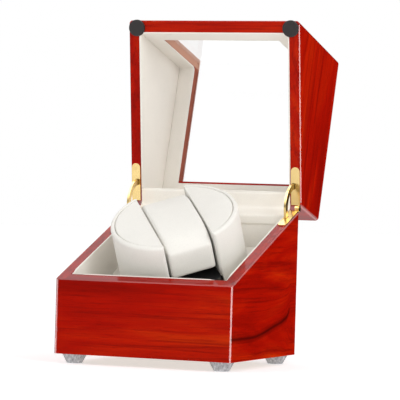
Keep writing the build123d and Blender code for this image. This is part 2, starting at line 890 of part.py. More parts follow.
# Shares of the half length, from the middle out to the rounded end
half_stations = (0.45, 0.7, 0.85, 0.94, 1)
cushion_stations = [-share for share in reversed(half_stations)] + [0] + list(half_stations)
with BuildPart() as watch_cushion:
    for share in cushion_stations:
        draw_in = cushion_draw * share**8
        crown = cushion_crown * (1 - share**2) - cushion_end_drop * share**4
        add(
            cushion_section(
                share * cushion_length / 2,
                half_cushion - draw_in,
                cushion_base + draw_in,
                crown,
            )
        )
    loft(ruled=True)
keep(watch_cushion, "watch_cushion")

# Shaft, bushes, gear and clip on the drum's axis
shaft_top = -slot_depth - shell_wall
clip_top = plate_under - bush_flange / 2
clip_bottom = clip_top - clip_thickness
shaft_bottom = clip_bottom - shaft_tail


def bush(top, bottom):
    """A flanged bush on the drum's axis, its flange lying on a level and its barrel below it."""
    with BuildPart() as flanged:
        with BuildSketch(drum_plane.offset(bottom)):
            Circle(bush_radius)
        extrude(amount=top - bottom)
        with BuildSketch(drum_plane.offset(top)):
            Circle(bush_flange_radius)
        extrude(amount=bush_flange)
        with BuildSketch(drum_plane.offset(bottom)):
            Circle(shaft_radius + running_gap)
        extrude(amount=top - bottom + bush_flange, mode=Mode.SUBTRACT)
    return flanged


keep(bush(deck_top, deck_under - bush_stand), "upper_bush")
keep(bush(plate_top, plate_under), "lower_bush")

with BuildPart() as drum_shaft:
    with BuildSketch(drum_plane.offset(shaft_bottom)):
        Circle(shaft_radius)
    extrude(amount=shaft_top - shaft_bottom)
keep(drum_shaft, "drum_shaft")

with BuildPart() as shaft_clip:
    with BuildSketch(drum_plane.offset(clip_bottom)):
        Circle(clip_radius)
        Circle(shaft_radius, mode=Mode.SUBTRACT)
    extrude(amount=clip_thickness)
keep(shaft_clip, "shaft_clip")


def gear_outline(teeth, turn):
    """Closed outline of a spur gear with involute teeth, its first tooth turned by an angle."""
    pitch_radius = gear_module * teeth / 2
    base_radius = pitch_radius * cos(pressure_angle)
    root_radius = pitch_radius - 1.25 * gear_module
    tip_radius = pitch_radius + gear_module
    start_radius = max(base_radius, root_radius)
    involute = tan(pressure_angle) - pressure_angle
    half_tooth = pi / (2 * teeth) - gear_backlash / (2 * pitch_radius)
    flank = [(root_radius, half_tooth + involute)]
    for step in range(1, flank_steps + 1):
        radius = start_radius + (tip_radius - start_radius) * step / flank_steps
        pressure = acos(base_radius / radius)
        flank.append((radius, half_tooth + involute - (tan(pressure) - pressure)))
    points = []
    for index in range(teeth):
        middle = radians(turn) + 2 * pi * index / teeth
        points += [(r * cos(middle - a), r * sin(middle - a)) for r, a in flank]
        points += [(r * cos(middle + a), r * sin(middle + a)) for r, a in reversed(flank)]
    with BuildLine() as line:
        Polyline(*points, close=True)
    return make_face(line.line)


gear_bottom = plate_top + bush_flange + hub_gap + gear_hub_drop
gear_top = gear_bottom + gear_width
with BuildPart() as drum_gear:
    with BuildSketch(drum_plane.offset(gear_bottom)):
        add(gear_outline(gear_teeth, 0))
    extrude(amount=gear_width)
    with BuildSketch(drum_plane.offset(gear_bottom)):
        Circle(gear_hub_radius)
    extrude(amount=-gear_hub_drop)
    with BuildSketch(drum_plane.offset(gear_top)):
        Circle(shaft_radius)
    extrude(amount=-(gear_width + gear_hub_drop), mode=Mode.SUBTRACT)
keep(drum_gear, "drum_gear")

# Motor under its plate, with the pinion beside the drum's gear
motor_plane = Plane(
    origin=drum_plane.from_local_coords(Vector(drive_distance, 0, 0)),
    x_dir=drum_plane.x_dir,
    z_dir=drum_plane.z_dir,
)
can_plane = Plane(
    origin=drum_plane.from_local_coords(Vector(drive_distance + motor_offset, 0, 0)),
    x_dir=drum_plane.x_dir,
    z_dir=drum_plane.z_dir,
)
with BuildPart() as motor_pinion:
    with BuildSketch(motor_plane.offset(gear_bottom)):
        add(gear_outline(pinion_teeth, 180 / pinion_teeth))
    extrude(amount=gear_width)
    with BuildSketch(motor_plane.offset(gear_bottom)):
        Circle(pinion_hub_radius)
    extrude(amount=-pinion_hub_drop)
    with BuildSketch(motor_plane.offset(gear_top)):
        Circle(motor_shaft_radius)
    extrude(amount=-(gear_width + pinion_hub_drop), mode=Mode.SUBTRACT)
keep(motor_pinion, "motor_pinion")

motor_shaft_low = plate_under - motor_shaft_depth
with BuildPart() as motor_shaft:
    with BuildSketch(motor_plane.offset(motor_shaft_low)):
        Circle(motor_shaft_radius)
    extrude(amount=gear_top + motor_shaft_stand - motor_shaft_low)
keep(motor_shaft, "motor_shaft")

ear_spots = [(0, -ear_spacing / 2), (0, ear_spacing / 2)]
motor_under = Plane(
    origin=can_plane.from_local_coords(Vector(0, 0, plate_under - ear_thickness)),
    x_dir=(1, 0, 0),
    z_dir=-can_plane.z_dir,
)
motor_screws = screws(
    motor_under, ear_spots, small_screw_radius, small_head_radius, motor_screw_length
)
keep(motor_screws, "motor_screws")
with BuildPart() as gear_motor:
    with BuildSketch(can_plane.offset(plate_under)):
        Circle(motor_radius)
    extrude(amount=-motor_length)
    with BuildSketch(can_plane.offset(plate_under)):
        with Locations(*ear_spots):
            Circle(ear_radius)
        Rectangle(2 * ear_radius, ear_spacing)
    extrude(amount=-ear_thickness)
    with BuildSketch(motor_plane.offset(plate_under)):
        Circle(motor_boss_radius)
    extrude(amount=plate_thickness)
    with BuildSketch(motor_plane.offset(plate_top)):
        Circle(motor_shaft_radius + running_gap)
    extrude(amount=-(plate_thickness + motor_shaft_depth + motor_shaft_stand), mode=Mode.SUBTRACT)
    add(motor_screws.part, mode=Mode.SUBTRACT)
keep(gear_motor, "gear_motor")

spacer_far = inner_x - batten_width - spacer_radius - spacer_room
spacer_y = plate_width / 2 - spacer_inset
spacer_spots = [(x, y * spacer_y) for x in (-spacer_near, spacer_far) for y in (-1, 1)]
plate_length = spacer_near + spacer_far + 2 * spacer_inset
plate_shift = (spacer_far - spacer_near) / 2
plate_down = Plane(
    origin=drum_plane.from_local_coords(Vector(0, 0, plate_under)),
    x_dir=(1, 0, 0),
    z_dir=-drum_plane.z_dir,
)
spacer_screws = screws(
    plate_down,
    [(x, -y) for x, y in spacer_spots],
    small_screw_radius,
    small_head_radius,
    spacer_screw_length,
)
keep(spacer_screws, "spacer_screws")
with BuildPart() as spacers:
    with BuildSketch(drum_plane.offset(plate_top)):
        with Locations(*spacer_spots):
            Circle(spacer_radius)
    extrude(amount=drive_space)
    add(spacer_screws.part, mode=Mode.SUBTRACT)
keep(spacers, "spacers")
with BuildPart() as motor_plate:
    with BuildSketch(drum_plane.offset(plate_under)):
        with Locations((plate_shift, 0)):
            RectangleRounded(plate_length, plate_width, plate_corner)
        Circle(bush_radius, mode=Mode.SUBTRACT)
        with Locations((drive_distance, 0)):
            Circle(motor_boss_radius, mode=Mode.SUBTRACT)
    extrude(amount=plate_thickness)
    add(spacer_screws.part, mode=Mode.SUBTRACT)
    add(motor_screws.part, mode=Mode.SUBTRACT)
keep(motor_plate, "motor_plate")

print("pivot", round(pivot.Y, 3), round(pivot.Z, 3), "stay travel", round(stay_travel, 2))
print("drum axis point", [round(v, 4) for v in drum_plane.origin], "radius", round(drum_radius, 3))
print("pinion axis point", [round(v, 4) for v in motor_plane.origin])
print("rim angle", round(rim_angle, 3), "lid top when shut", round(lid_top_z, 2))
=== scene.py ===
"""Looks of the watch winder, built round its solids: metres, in their own frame, with the lid open."""

import json
from math import acos, atan2, cos, pi, radians, sin

import bmesh
import bpy
from mathutils import Matrix, Vector, noise


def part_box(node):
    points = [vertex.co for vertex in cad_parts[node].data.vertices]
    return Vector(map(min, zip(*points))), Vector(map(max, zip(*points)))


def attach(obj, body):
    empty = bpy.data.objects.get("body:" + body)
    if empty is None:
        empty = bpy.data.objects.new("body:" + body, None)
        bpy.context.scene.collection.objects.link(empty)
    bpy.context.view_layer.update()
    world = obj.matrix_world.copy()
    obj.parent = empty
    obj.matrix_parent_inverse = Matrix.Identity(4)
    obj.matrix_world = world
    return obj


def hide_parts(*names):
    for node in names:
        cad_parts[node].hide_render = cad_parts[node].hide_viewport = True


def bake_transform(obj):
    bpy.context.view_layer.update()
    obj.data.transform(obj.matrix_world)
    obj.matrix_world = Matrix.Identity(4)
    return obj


MM = 0.001
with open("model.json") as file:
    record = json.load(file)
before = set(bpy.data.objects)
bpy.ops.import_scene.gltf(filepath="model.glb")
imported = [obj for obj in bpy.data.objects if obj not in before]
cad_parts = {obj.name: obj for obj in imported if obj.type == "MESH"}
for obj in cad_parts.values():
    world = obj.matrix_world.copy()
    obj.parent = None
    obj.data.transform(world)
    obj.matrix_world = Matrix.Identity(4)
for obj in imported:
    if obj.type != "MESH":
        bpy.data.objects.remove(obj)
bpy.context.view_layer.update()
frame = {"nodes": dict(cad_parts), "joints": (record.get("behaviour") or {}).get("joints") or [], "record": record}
joints = {joint["name"]: joint for joint in frame["joints"]}

# Sizes that follow the solids
half_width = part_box("base_case")[1].x
wall = 8 * MM
inner_x = half_width - wall
drum_origin = Vector(joints["drum_spin"]["pos_m"])
drum_axis = Vector(joints["drum_spin"]["axis"]).normalized()
lid_pivot = Vector(joints["lid_hinge"]["pos_m"])
open_angle = radians(joints["lid_hinge"]["range_deg"][1])
drum_turn = radians(36)
drum_radius = 45 * MM
drum_depth = 46 * MM
half_slot = 17.5 * MM
slot_depth = 34 * MM
seam_inset = 3.3 * MM
band_roll = 2.4 * MM
shell_wall = 2.5 * MM
wall_lining = 2 * MM
panel_thickness = 3 * MM
rim_rise = 50 * MM
rim_run = 122 * MM
rim_slope = atan2(rim_rise, rim_run)
rim_up = Vector((0, -sin(rim_slope), cos(rim_slope)))

across = Matrix.Rotation(drum_turn, 3, drum_axis) @ Vector((1, 0, 0))
drum_axes = Matrix((across, drum_axis.cross(across), drum_axis)).transposed()
drum_frame = Matrix.Translation(drum_origin) @ drum_axes.to_4x4()
sides = {"left": -1, "right": 1}


# Shader helpers

def material(name):
    """A new node material and its principled shader."""
    made = bpy.data.materials.new(name)
    made.use_nodes = True
    return made, made.node_tree, made.node_tree.nodes["Principled BSDF"]


def add_node(tree, kind, inputs=(), **settings):
    """A node with its settings and inputs; an input is a value or another node's socket."""
    made = tree.nodes.new(kind)
    for key, value in settings.items():
        setattr(made, key, value)
    for key, value in dict(inputs).items():
        if isinstance(value, bpy.types.NodeSocket):
            tree.links.new(value, made.inputs[key])
        else:
            made.inputs[key].default_value = value
    return made


def object_point(tree, lean=0.0):
    """Object coordinates, turned back by a lean about the X axis."""
    coordinates = add_node(tree, "ShaderNodeTexCoord")
    turned = add_node(
        tree,
        "ShaderNodeMapping",
        {"Vector": coordinates.outputs["Object"], "Rotation": (lean, 0, 0)},
    )
    return coordinates, turned.outputs["Vector"]


def noise_value(tree, vector, scale, detail=4.0, roughness=0.5, distortion=0.0):
    made = add_node(
        tree,
        "ShaderNodeTexNoise",
        {
            "Vector": vector,
            "Scale": scale,
            "Detail": detail,
            "Roughness": roughness,
            "Distortion": distortion,
        },
    )
    return made.outputs["Fac"]


def ramp(tree, value, stops):
    """A colour ramp with (place, colour) stops."""
    made = add_node(tree, "ShaderNodeValToRGB", {"Fac": value})
    band = made.color_ramp
    while len(band.elements) < len(stops):
        band.elements.new(0.5)
    for element, (place, colour) in zip(band.elements, stops):
        element.position = place
        element.color = (*colour, 1)
    return made.outputs["Color"]


def greys(*stops):
    """Ramp stops of plain greys, from (place, level) pairs."""
    return [(place, (level,) * 3) for place, level in stops]


def shade(colour, factor):
    """A colour made darker or lighter, with its alpha."""
    return (*(min(1, channel * factor) for channel in colour), 1)


def maths(tree, operation, first, second=0.0):
    made = add_node(tree, "ShaderNodeMath", {0: first, 1: second}, operation=operation)
    return made.outputs["Value"]


def absolute(tree, value):
    return maths(tree, "ABSOLUTE", value)


def map_range(tree, value, start, end, low, high):
    """A value from start to end mapped to low to high, and held beyond both."""
    limits = {"Value": value, "From Min": start, "From Max": end, "To Min": low, "To Max": high}
    return add_node(tree, "ShaderNodeMapRange", limits).outputs["Result"]


def separate(tree, vector):
    """The X, Y and Z outputs of a vector."""
    return add_node(tree, "ShaderNodeSeparateXYZ", {0: vector}).outputs


def stretched(tree, vector, factors):
    """A vector multiplied by a factor on each axis."""
    made = add_node(tree, "ShaderNodeVectorMath", {0: vector, 1: factors}, operation="MULTIPLY")
    return made.outputs["Vector"]


def mix_colour(tree, amount, first, second):
    made = add_node(
        tree, "ShaderNodeMix", {"Factor": amount, "A": first, "B": second}, data_type="RGBA"
    )
    return made.outputs["Result"]


def mix_vector(tree, amount, first, second):
    made = add_node(
        tree, "ShaderNodeMix", {"Factor": amount, "A": first, "B": second}, data_type="VECTOR"
    )
    return made.outputs["Result"]


def bump(tree, shader, height, distance, strength=1.0):
    """Bump of a height from 0 to 1 over a distance in metres."""
    made = add_node(
        tree, "ShaderNodeBump", {"Height": height, "Distance": distance, "Strength": strength}
    )
    tree.links.new(made.outputs["Normal"], shader.inputs["Normal"])


# Materials

# The dark vein's course over the right side: (share of the depth, share of vein_scale)
vein_scale = 60 * MM
vein_half_depth = 60 * MM
vein_end = 46.5 * MM
vein_pull = 22 * MM
vein_start = 0.365
vein_course = [
    (0.0, vein_start),
    (0.31, 0.362),
    (0.45, 0.39),
    (0.60, 0.455),
    (0.76, 0.51),
    (0.84, 0.56),
    (0.87, 0.61),
    (0.885, 0.66),
]
# Darkness of the vein by the distance from its course, in shares of vein_reach
vein_reach = 10 * MM
vein_darkness = greys((0.04, 0.85), (0.15, 0.42), (0.40, 0))

# A face looks along an axis where its normal's share of that axis passes these
facing_share = 0.6
upright_share = 0.97
edge_shares = (0.90, 0.985)

# Waves of the grain in each metre: (along it, across it)
figure_grain = (6, 42)
band_grain = (4, 150)
streak_grain = (11, 420)
pore_grain = (130, 3600)
relief_grain = (20, 500)

# Colours of the wood: its figure from dark to light, and what streaks, pores and saw cuts show; the saw cuts have
# a lighter copy with painted light and a darker copy with painted shade
wood_figure = [
    (0.30, (0.23, 0.0026, 0.0004)),
    (0.45, (0.34, 0.0045, 0.0005)),
    (0.60, (0.42, 0.0110, 0.0008)),
    (0.76, (0.50, 0.0300, 0.0015)),
]
band_colour = (0.25, 0.0030, 0.0008, 1)
streak_colour = (0.15, 0.0020, 0.0008, 1)
pore_colour = (0.10, 0.0015, 0.0008, 1)
vein_colour = (0.05, 0.0010, 0.0006, 1)
# Saw-cut wood twice: a copy with painted light for the front wall's cuts, and a darker copy with painted shade for
# the rest
sawn_lit = ((0.58, 0.32, 0.23, 1), (0.46, 0.23, 0.16, 1))
sawn_shaded = ((0.36, 0.115, 0.075, 1), (0.24, 0.06, 0.035, 1))

# Strength of the lacquer's gloss on upright faces, rims and rounded edges
side_coat = 0.22
rim_coat = 0.4
edge_coat = 1.0
sawn_reach = 50 * MM
front_inner_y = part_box("base_case")[0].y + wall


def vein_level(tree, place):
    """Height of one dark vein over the right side of the base, in metres, at a depth."""
    depth = map_range(tree, place["Y"], -vein_half_depth, vein_half_depth, 0.0, 1.0)
    curve = ramp(tree, depth, greys(*vein_course))
    curve.node.color_ramp.interpolation = "B_SPLINE"
    level = add_node(tree, "ShaderNodeSeparateColor", {0: curve})
    return maths(tree, "MULTIPLY", level.outputs["Red"], vein_scale)


def lacquer_coat(tree, facing, normal):
    """Gloss of the lacquer: full on rounded edges, less on flat rims and least on upright faces."""
    along_rim = add_node(
        tree, "ShaderNodeVectorMath", {0: facing, 1: rim_up}, operation="DOT_PRODUCT"
    ).outputs["Value"]
    flatness = absolute(tree, along_rim)
    for axis in ("X", "Y", "Z"):
        flatness = maths(tree, "MAXIMUM", flatness, absolute(tree, normal[axis]))
    flat = ramp(tree, flatness, greys((edge_shares[0], edge_coat), (edge_shares[1], rim_coat)))
    frontal = maths(tree, "MULTIPLY", normal["Y"], -1.0)
    upright = maths(tree, "MAXIMUM", absolute(tree, normal["X"]), frontal)
    return mix_colour(
        tree, maths(tree, "GREATER_THAN", upright, upright_share), flat, (side_coat,) * 3 + (1,)
    )


def lacquered_wood(name, lean, veined=False):
    """Red-brown veneer under gloss lacquer, its grain level round the box when the lid is shut.

    The window's cut edges and other sawn faces inside show paler wood, with painted light on the front wall's cuts
    and painted shade on the others.
    """
    made, tree, shader = material(name)
    coordinates, point = object_point(tree, lean)
    facing = add_node(
        tree,
        "ShaderNodeMapping",
        {"Vector": coordinates.outputs["Normal"], "Rotation": (lean, 0, 0)},
        vector_type="NORMAL",
    ).outputs["Vector"]
    normal = separate(tree, facing)
    place = separate(tree, point)
    on_side = maths(tree, "GREATER_THAN", absolute(tree, normal["X"]), facing_share)
    near_side = maths(tree, "GREATER_THAN", absolute(tree, place["X"]), inner_x)
    level = maths(tree, "GREATER_THAN", absolute(tree, normal["Z"]), facing_share)
    turned = maths(tree, "MAXIMUM", on_side, maths(tree, "MULTIPLY", near_side, level))
    vein = None
    if veined:
        course = vein_level(tree, place)
        beside = absolute(tree, maths(tree, "SUBTRACT", place["Z"], course))
        close = map_range(tree, beside, 0.0, vein_pull, 1.0, 0.0)
        right_side = maths(tree, "GREATER_THAN", normal["X"], facing_share)
        rise = maths(tree, "SUBTRACT", course, vein_scale * vein_start)
        shift = maths(tree, "MULTIPLY", maths(tree, "MULTIPLY", rise, close), right_side)
        moved = maths(tree, "SUBTRACT", place["Z"], shift)
        point = add_node(
            tree, "ShaderNodeCombineXYZ", {"X": place["X"], "Y": place["Y"], "Z": moved}
        ).outputs["Vector"]
        dark = ramp(tree, maths(tree, "MULTIPLY", beside, 1 / vein_reach), vein_darkness)
        before_end = maths(tree, "LESS_THAN", place["Y"], vein_end)
        vein = maths(tree, "MULTIPLY", dark, maths(tree, "MULTIPLY", right_side, before_end))

    def grain(along, cross):
        lengthwise = stretched(tree, point, (along, cross, cross))
        depthwise = stretched(tree, point, (cross, along, cross))
        return mix_vector(tree, turned, lengthwise, depthwise)

    figure = noise_value(tree, grain(*figure_grain), 1.0, 3.0, 0.55, 1.0)
    streaks = noise_value(tree, grain(*streak_grain), 1.0, 5.0, 0.62, 0.5)
    bands = noise_value(tree, grain(*band_grain), 1.0, 3.0, 0.5, 0.4)
    pores = noise_value(tree, grain(*pore_grain), 1.0, 2.0, 0.5)
    body = ramp(tree, figure, wood_figure)
    banding = ramp(tree, bands, greys((0.46, 0), (0.68, 0.45)))
    banded = mix_colour(tree, banding, body, band_colour)
    streaking = ramp(tree, streaks, greys((0.50, 0), (0.66, 0.62)))
    streaked = mix_colour(tree, streaking, banded, streak_colour)
    pitting = ramp(tree, pores, greys((0.58, 0), (0.70, 0.40)))
    colour = mix_colour(tree, pitting, streaked, pore_colour)
    if vein is not None:
        colour = mix_colour(tree, vein, colour, vein_colour)
    between_sides = maths(tree, "LESS_THAN", absolute(tree, place["X"]), sawn_reach)
    sawn = maths(tree, "MULTIPLY", on_side, between_sides)
    # Saw cuts: painted light on the front wall's cuts, painted shade on the other cuts
    pale = mix_colour(tree, streaks, *sawn_lit)
    shaded_cut = mix_colour(tree, streaks, *sawn_shaded)
    turn_shift = Matrix.Rotation(lean, 3, "X") @ lid_pivot - lid_pivot
    in_front = maths(tree, "LESS_THAN", place["Y"], front_inner_y + turn_shift.y)
    colour = mix_colour(tree, sawn, colour, mix_colour(tree, in_front, shaded_cut, pale))
    tree.links.new(colour, shader.inputs["Base Color"])
    shader.inputs["Roughness"].default_value = 0.42
    shader.inputs["Specular IOR Level"].default_value = 0.0
    tree.links.new(lacquer_coat(tree, facing, normal), shader.inputs["Coat Weight"])
    shader.inputs["Coat Roughness"].default_value = 0.03
    shader.inputs["Coat IOR"].default_value = 1.45
    bump(tree, shader, noise_value(tree, grain(*relief_grain), 1.0, 2.0), 0.04 * MM)
    return made


leather_crease = 0.35
leather_pebble = 0.5


def leather(name, colour):
    """Fine-grained leather cloth with soft painted shade between its creases."""
    made, tree, shader = material(name)
    _, point = object_point(tree)
    tone = noise_value(tree, point, 38, 3.0, 0.6)
    pebbles = add_node(
        tree,
        "ShaderNodeTexVoronoi",
        {"Vector": point, "Scale": 1500.0, "Randomness": 0.9},
        feature="SMOOTH_F1",
    )
    wrinkles = noise_value(tree, point, 520, 3.0, 0.6, 0.6)
    pale = mix_colour(tree, tone, shade(colour, 0.93), shade(colour, 1.04))
    # Painted shade: darker colour in the hollows between the pebbles of the grain
    painted_hollow_shade = ramp(tree, pebbles.outputs["Distance"], greys((0.35, 0), (0.85, 0.22)))
    shaded = mix_colour(tree, painted_hollow_shade, pale, shade(colour, 0.78))
    tree.links.new(shaded, shader.inputs["Base Color"])
    shader.inputs["Roughness"].default_value = 0.52
    shader.inputs["Specular IOR Level"].default_value = 0.35
    shader.inputs["Sheen Weight"].default_value = 0.12
    shader.inputs["Sheen Roughness"].default_value = 0.45
    height = maths(
        tree,
        "SUBTRACT",
        maths(tree, "MULTIPLY", wrinkles, leather_crease),
        maths(tree, "MULTIPLY", pebbles.outputs["Distance"], leather_pebble),
    )
    bump(tree, shader, height, 0.12 * MM, 0.6)
    return made


def metal(name, colour, roughness, brushed=0.0):
    """Polished or brushed metal with faint cloudiness."""
    made, tree, shader = material(name)
    _, point = object_point(tree)
    haze = noise_value(tree, point, 160, 3.0, 0.6)
    shader.inputs["Metallic"].default_value = 1.0
    tinted = mix_colour(tree, haze, shade(colour, 0.86), shade(colour, 1))
    tree.links.new(tinted, shader.inputs["Base Color"])
    spread = map_range(tree, haze, 0.0, 1.0, roughness * 0.7, roughness * 1.4)
    tree.links.new(spread, shader.inputs["Roughness"])
    if brushed:
        scratches = noise_value(tree, stretched(tree, point, (60, 2400, 2400)), 1.0)
        bump(tree, shader, scratches, 0.02 * MM, brushed)
    else:
        bump(tree, shader, noise_value(tree, point, 900, 2.0), 0.01 * MM, 0.3)
    return made


def plastic(name, colour, roughness, grain_scale=1600.0, grain_depth=0.03 * MM):
    """Moulded plastic or rubber with a fine spark-eroded grain."""
    made, tree, shader = material(name)
    _, point = object_point(tree)
    cloud = noise_value(tree, point, 90, 3.0)
    varied = mix_colour(tree, cloud, shade(colour, 0.85), shade(colour, 1.12))
    tree.links.new(varied, shader.inputs["Base Color"])
    shader.inputs["Roughness"].default_value = roughness
    bump(tree, shader, noise_value(tree, point, grain_scale, 3.0), grain_depth, 0.7)
    return made


def satin_silver(name):
    """Silver-grey moulding with faint upright streaks of painted reflection, lighter and darker."""
    made, tree, shader = material(name)
    _, point = object_point(tree)
    streaks = noise_value(tree, stretched(tree, point, (700, 700, 12)), 1.0, 3.0, 0.6)
    # Upright light and dark streaks of painted reflection in the colour
    tone = ramp(
        tree,
        streaks,
        [(0.32, (0.17, 0.17, 0.175)), (0.50, (0.30, 0.30, 0.31)), (0.68, (0.52, 0.52, 0.54))],
    )
    tree.links.new(tone, shader.inputs["Base Color"])
    shader.inputs["Roughness"].default_value = 0.3
    shader.inputs["Specular IOR Level"].default_value = 0.4
    bump(tree, shader, noise_value(tree, point, 1400, 2.0), 0.02 * MM, 0.5)
    return made


def fibre_board(name):
    """Pressed board with short fibres."""
    made, tree, shader = material(name)
    _, point = object_point(tree)
    fibres = noise_value(tree, stretched(tree, point, (420, 1500, 900)), 1.0, 5.0, 0.7)
    tone = ramp(tree, fibres, [(0.3, (0.26, 0.16, 0.085)), (0.7, (0.46, 0.32, 0.19))])
    tree.links.new(tone, shader.inputs["Base Color"])
    shader.inputs["Roughness"].default_value = 0.85
    bump(tree, shader, fibres, 0.08 * MM, 0.6)
    return made


def clear_sheet(name):
    """Clear polished acrylic with the faintest surface waviness."""
    made, tree, shader = material(name)
    _, point = object_point(tree)
    shader.inputs["Base Color"].default_value = (0.97, 0.985, 0.985, 1)
    shader.inputs["Transmission Weight"].default_value = 1.0
    shader.inputs["Roughness"].default_value = 0.0
    shader.inputs["IOR"].default_value = 1.45
    shader.inputs["Alpha"].default_value = 0.14
    bump(tree, shader, noise_value(tree, point, 30, 1.0), 0.02 * MM, 0.2)
    return made


def circuit_green(name):
    """Solder-masked board with buried tracks."""
    made, tree, shader = material(name)
    _, point = object_point(tree)
    tracks = add_node(
        tree,
        "ShaderNodeTexBrick",
        {
            "Vector": point,
            "Scale": 260.0,
            "Mortar Size": 0.03,
            "Color1": (0.02, 0.16, 0.05, 1),
            "Color2": (0.015, 0.12, 0.04, 1),
            "Mortar": (0.05, 0.28, 0.1, 1),
        },
    )
    tree.links.new(tracks.outputs["Color"], shader.inputs["Base Color"])
    shader.inputs["Roughness"].default_value = 0.3
    bump(tree, shader, tracks.outputs["Fac"], 0.03 * MM, 0.5)
    return made


# Lining leathers: the base's linings and flap use a paler copy of the lid's cream, painted lighter to lift the
# shade inside the base
cream = (0.79, 0.75, 0.685)
cream_painted_lighter = (0.90, 0.86, 0.79)
wood_base = lacquered_wood("lacquer_base", 0.0, veined=True)
wood_lid = lacquered_wood("lacquer_lid", open_angle)
leather_drum = leather("leather_drum", (0.80, 0.78, 0.73))
leather_lid = leather("leather_lid", cream)
leather_base = leather("leather_base", cream_painted_lighter)
gilt = metal("gilt", (0.95, 0.70, 0.30), 0.2)
steel = metal("zinc_steel", (0.60, 0.60, 0.62), 0.32, 0.4)
bronze = metal("bush_bronze", (0.52, 0.34, 0.17), 0.42)
silver_foot = satin_silver("satin_silver")
rubber = plastic("bumper_rubber", (0.016, 0.013, 0.013), 0.75, 1800, 0.05 * MM)
black_plastic = plastic("black_plastic", (0.016, 0.016, 0.017), 0.45)
white_plastic = plastic("gear_plastic", (0.78, 0.77, 0.72), 0.38)
board = fibre_board("fibre_board")
clear = clear_sheet("clear_window")
green_board = circuit_green("circuit_green")

node_looks = {
    "lacquer": wood_base,
    "board": board,
    "leather": leather_base,
    "gilt": gilt,
    "steel": steel,
    "foot": silver_foot,
    "bumper": rubber,
    "window": clear,
    "black_plastic": black_plastic,
    "gear_plastic": white_plastic,
    "bronze": bronze,
    "circuit": green_board,
}
for part in frame["record"]["subparts"]:
    look = node_looks[part["material_slot"]]
    node = frame["nodes"][part["node"]]
    node.data.materials.clear()
    node.data.materials.append(wood_lid if part["node"] == "lid_case" else look)


# Mesh helpers

def new_object(name, verts, faces, look, body):
    """A closed mesh, in the solids' frame, that rides on a body."""
    mesh = bpy.data.meshes.new(name)
    mesh.from_pydata([tuple(v) for v in verts], [], faces)
    mesh.validate()
    made = bpy.data.objects.new(name, mesh)
    bpy.context.scene.collection.objects.link(made)
    finish_object(made, look, body)
    return made


def finish_object(made, look, body):
    """Outward normals, smooth shading, material, slot and body of a new piece."""
    bm = bmesh.new()
    bm.from_mesh(made.data)
    bmesh.ops.recalc_face_normals(bm, faces=bm.faces)
    bm.to_mesh(made.data)
    bm.free()
    for face in made.data.polygons:
        face.use_smooth = True
    made.data.materials.clear()
    made.data.materials.append(look)
    if body:
        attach(made, body)


def strip_faces(rows, columns, close_rows=False, close_columns=False):
    """Quads between the points of a grid, listed row by row."""
    faces = []
    for i in range(rows if close_rows else rows - 1):
        for k in range(columns if close_columns else columns - 1):
            a = i * columns + k
            b = i * columns + (k + 1) % columns
            c = (i + 1) % rows * columns + (k + 1) % columns
            d = (i + 1) % rows * columns + k
            faces.append((a, b, c, d))
    return faces


# Linings: thin leather-covered boards with rolled edges and a soft, faintly uneven face

panel_grid = 4 * MM
panel_roll = 0.35 * MM
panel_roll_angle = radians(50)
panel_unevenness = 0.12 * MM
panel_wave = 90
window_reveal = 1.6 * MM
lining_raise = 0.75 * MM
lining_fold = 2.5 * MM
fold_steps = 6
border_step = 3.5 * MM
field_step = 5 * MM
side_step = 3 * MM
rim_reach = 1 * MM
same_place = 0.001 * MM
same_level = 0.01 * MM
same_direction = 0.99
flat_angle = 0.01


def applied_mesh(made):
    """The mesh of an object with its modifiers applied."""
    depsgraph = bpy.context.evaluated_depsgraph_get()
    return bpy.data.meshes.new_from_object(made.evaluated_get(depsgraph))


def covered_board(name, bm, thickness, body, nodes):
    """A leather-covered board from its visible face, which looks along the face normals."""
    mesh = bpy.data.meshes.new(name)
    bm.to_mesh(mesh)
    bm.free()
    made = bpy.data.objects.new(name, mesh)
    bpy.context.scene.collection.objects.link(made)
    thicken = made.modifiers.new("thicken", "SOLIDIFY")
    thicken.thickness = thickness
    thicken.offset = -1
    roll = made.modifiers.new("roll", "BEVEL")
    roll.width = panel_roll
    roll.segments = 3
    roll.limit_method = "ANGLE"
    roll.angle_limit = panel_roll_angle
    final = applied_mesh(made)
    made.modifiers.clear()
    made.data = final
    finish_object(made, leather_lid if body == "lid" else leather_base, body)
    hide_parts(*nodes)
    return made


def lining_panel(node_name, direction, body):
    """A soft panel with the outline of a lining's solid, facing into the box."""
    direction = Vector(direction).normalized()
    bm = bmesh.new()
    bm.from_mesh(frame["nodes"][node_name].data)
    bmesh.ops.remove_doubles(bm, verts=bm.verts, dist=same_place)
    reach = [v.co.dot(direction) for v in bm.verts]
    front = max(reach)
    hidden = [
        face
        for face in bm.faces
        if face.normal.dot(direction) < same_direction
        or abs(face.calc_center_median().dot(direction) - front) > same_level
    ]
    bmesh.ops.delete(bm, geom=hidden, context="FACES")
    bmesh.ops.dissolve_limit(bm, angle_limit=flat_angle, verts=bm.verts, edges=bm.edges)
    spread = direction.orthogonal().normalized()
    for along in (spread, direction.cross(spread)):
        places = [v.co.dot(along) for v in bm.verts]
        place = min(places) + panel_grid
        while place < max(places) - panel_grid / 2:
            bmesh.ops.bisect_plane(
                bm, geom=bm.verts[:] + bm.edges[:] + bm.faces[:], plane_co=along * place, plane_no=along
            )
            place += panel_grid
    rim = {v for edge in bm.edges if edge.is_boundary for v in edge.verts}
    for v in bm.verts:
        if v not in rim:
            v.co += direction * panel_unevenness * noise.noise(v.co * panel_wave)
    rim_point, rim_normal = rim_planes[body]
    for v in rim:
        if abs((v.co - rim_point).dot(rim_normal)) < rim_reach and not under_bumper(v.co):
            v.co += rim_normal * lining_raise
    covered_board(node_name + "_cloth", bm, front - min(reach), body, [node_name])


